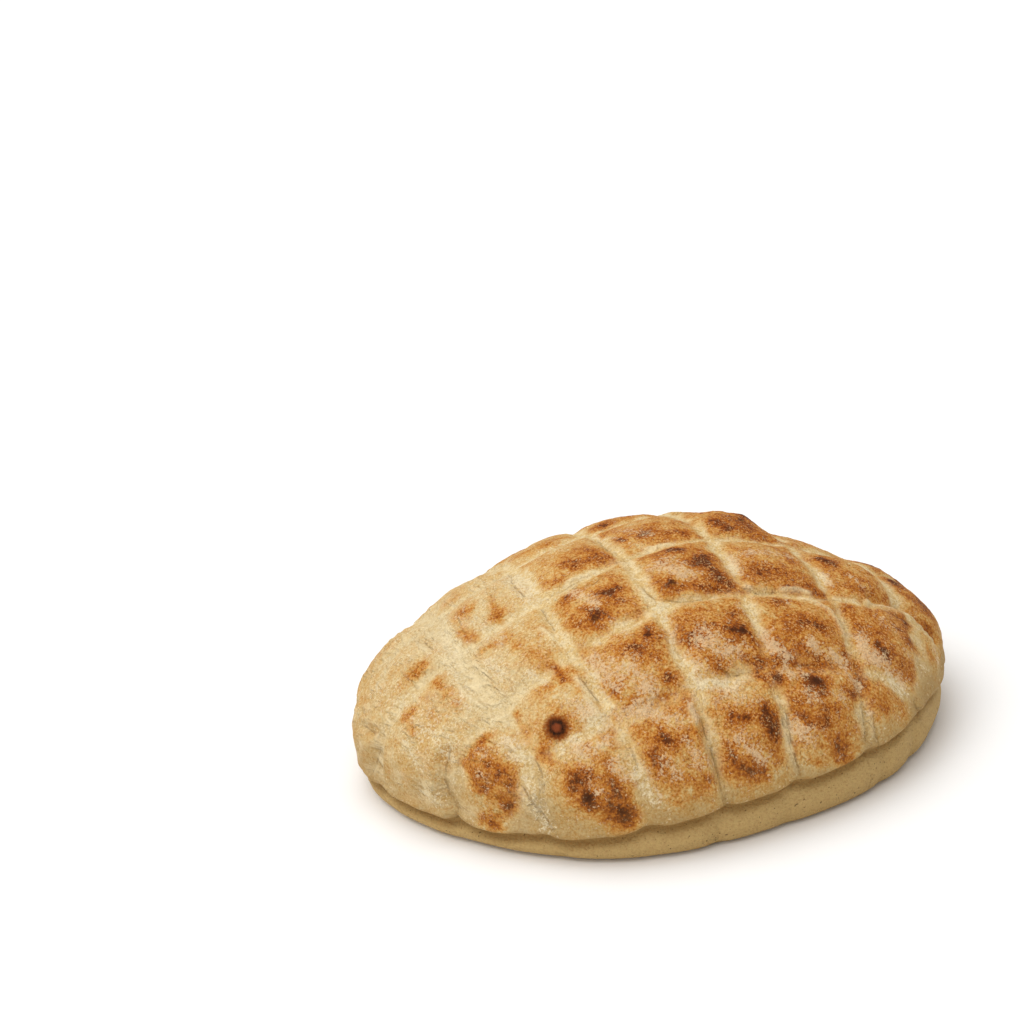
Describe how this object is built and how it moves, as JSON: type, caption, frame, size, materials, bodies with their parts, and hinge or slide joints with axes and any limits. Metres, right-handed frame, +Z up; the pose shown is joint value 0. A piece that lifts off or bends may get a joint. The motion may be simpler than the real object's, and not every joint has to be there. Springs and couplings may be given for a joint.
{
  "type": "pita bread",
  "caption": "Round puffed pita bread with a domed, toasted crust scored in a grid before baking, scalloped at the rim, resting on a flat pale base",
  "frame": {"origin": "the middle of the base, under the middle of the bounding box", "axes": "+Z up from the base, -Y towards the side that the picture shows, +X to the right"},
  "size_m": [0.1924, 0.1772, 0.068],
  "materials": {
    "baked_crust": "matt baked crust, cream in the scores and golden to dark brown on the pads"
  },
  "bodies": {
    "root": {"pita": "baked_crust"}
  },
  "joints": []
}
